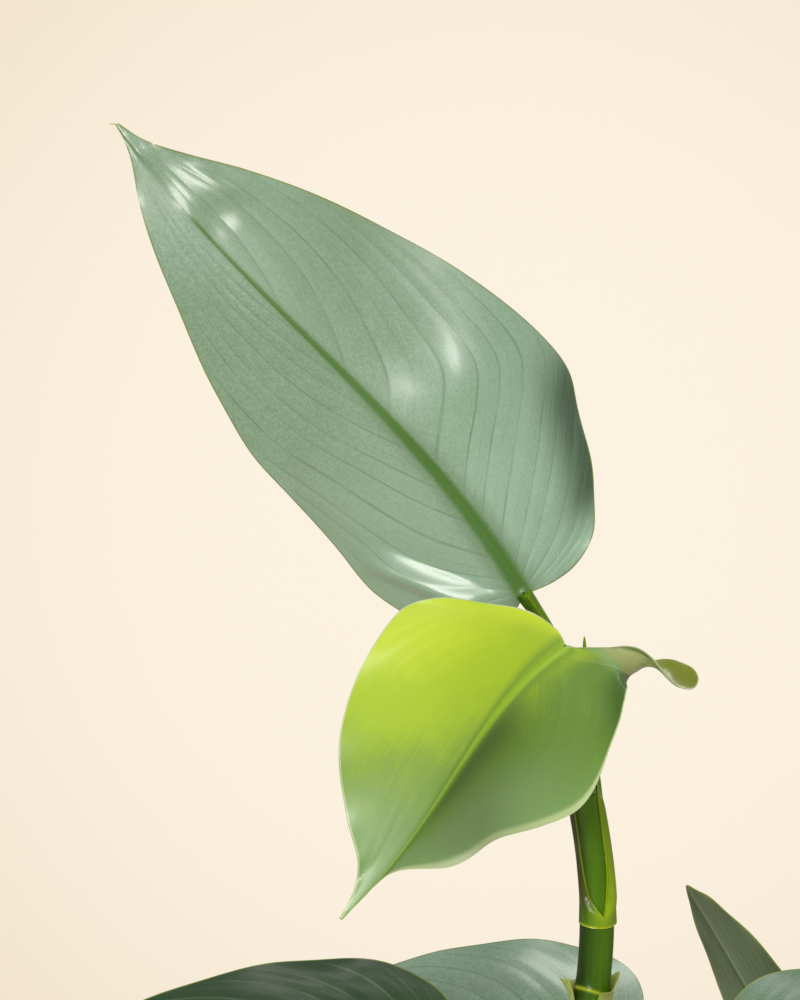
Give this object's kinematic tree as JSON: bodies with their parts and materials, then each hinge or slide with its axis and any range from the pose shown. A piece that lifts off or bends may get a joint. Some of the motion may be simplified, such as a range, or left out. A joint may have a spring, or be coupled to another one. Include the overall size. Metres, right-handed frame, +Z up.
{
  "type": "potted philodendron hastatum",
  "caption": "Young potted philodendron with silvery arrow-shaped leaves on long stalks, one lime new leaf, dark soil and a plain tapered ceramic pot.",
  "frame": {"origin": "centre of the pot's underside, on the surface that it stands on", "axes": "+Z up along the pot's axis; -Y towards the viewer who sees the crown leaf point up to the left, and +X to that viewer's right"},
  "size_m": [0.4462, 0.424, 0.5537],
  "materials": {
    "blade": "satin",
    "young_blade": "satin",
    "stalk": "satin",
    "stem": "satin",
    "husk": "matte",
    "root": "matte",
    "soil": "matte",
    "pot": "matte"
  },
  "bodies": {
    "root": {"stem_main": "stem", "stem_right": "stem", "stem_left": "stem", "crown_stalk": "stalk", "crown_blade": "blade", "young_stalk": "stalk", "young_blade": "young_blade", "left_stalk": "stalk", "left_blade": "blade", "rear_stalk": "stalk", "rear_blade": "blade", "upright_stalk": "stalk", "upright_blade": "blade", "right_stalk": "stalk", "right_blade": "blade", "front_stalk": "stalk", "front_blade": "blade", "front_right_stalk": "stalk", "front_right_blade": "blade", "back_right_stalk": "stalk", "back_right_blade": "blade", "back_stalk": "stalk", "back_blade": "blade", "low_left_stalk": "stalk", "low_left_blade": "blade", "front_left_stalk": "stalk", "front_left_blade": "blade", "collar_main": "husk", "collar_low": "husk", "collar_right": "husk", "spear": "stalk", "root_front": "root", "root_side": "root", "root_back": "root", "soil": "soil", "pot": "pot"}
  },
  "joints": []
}
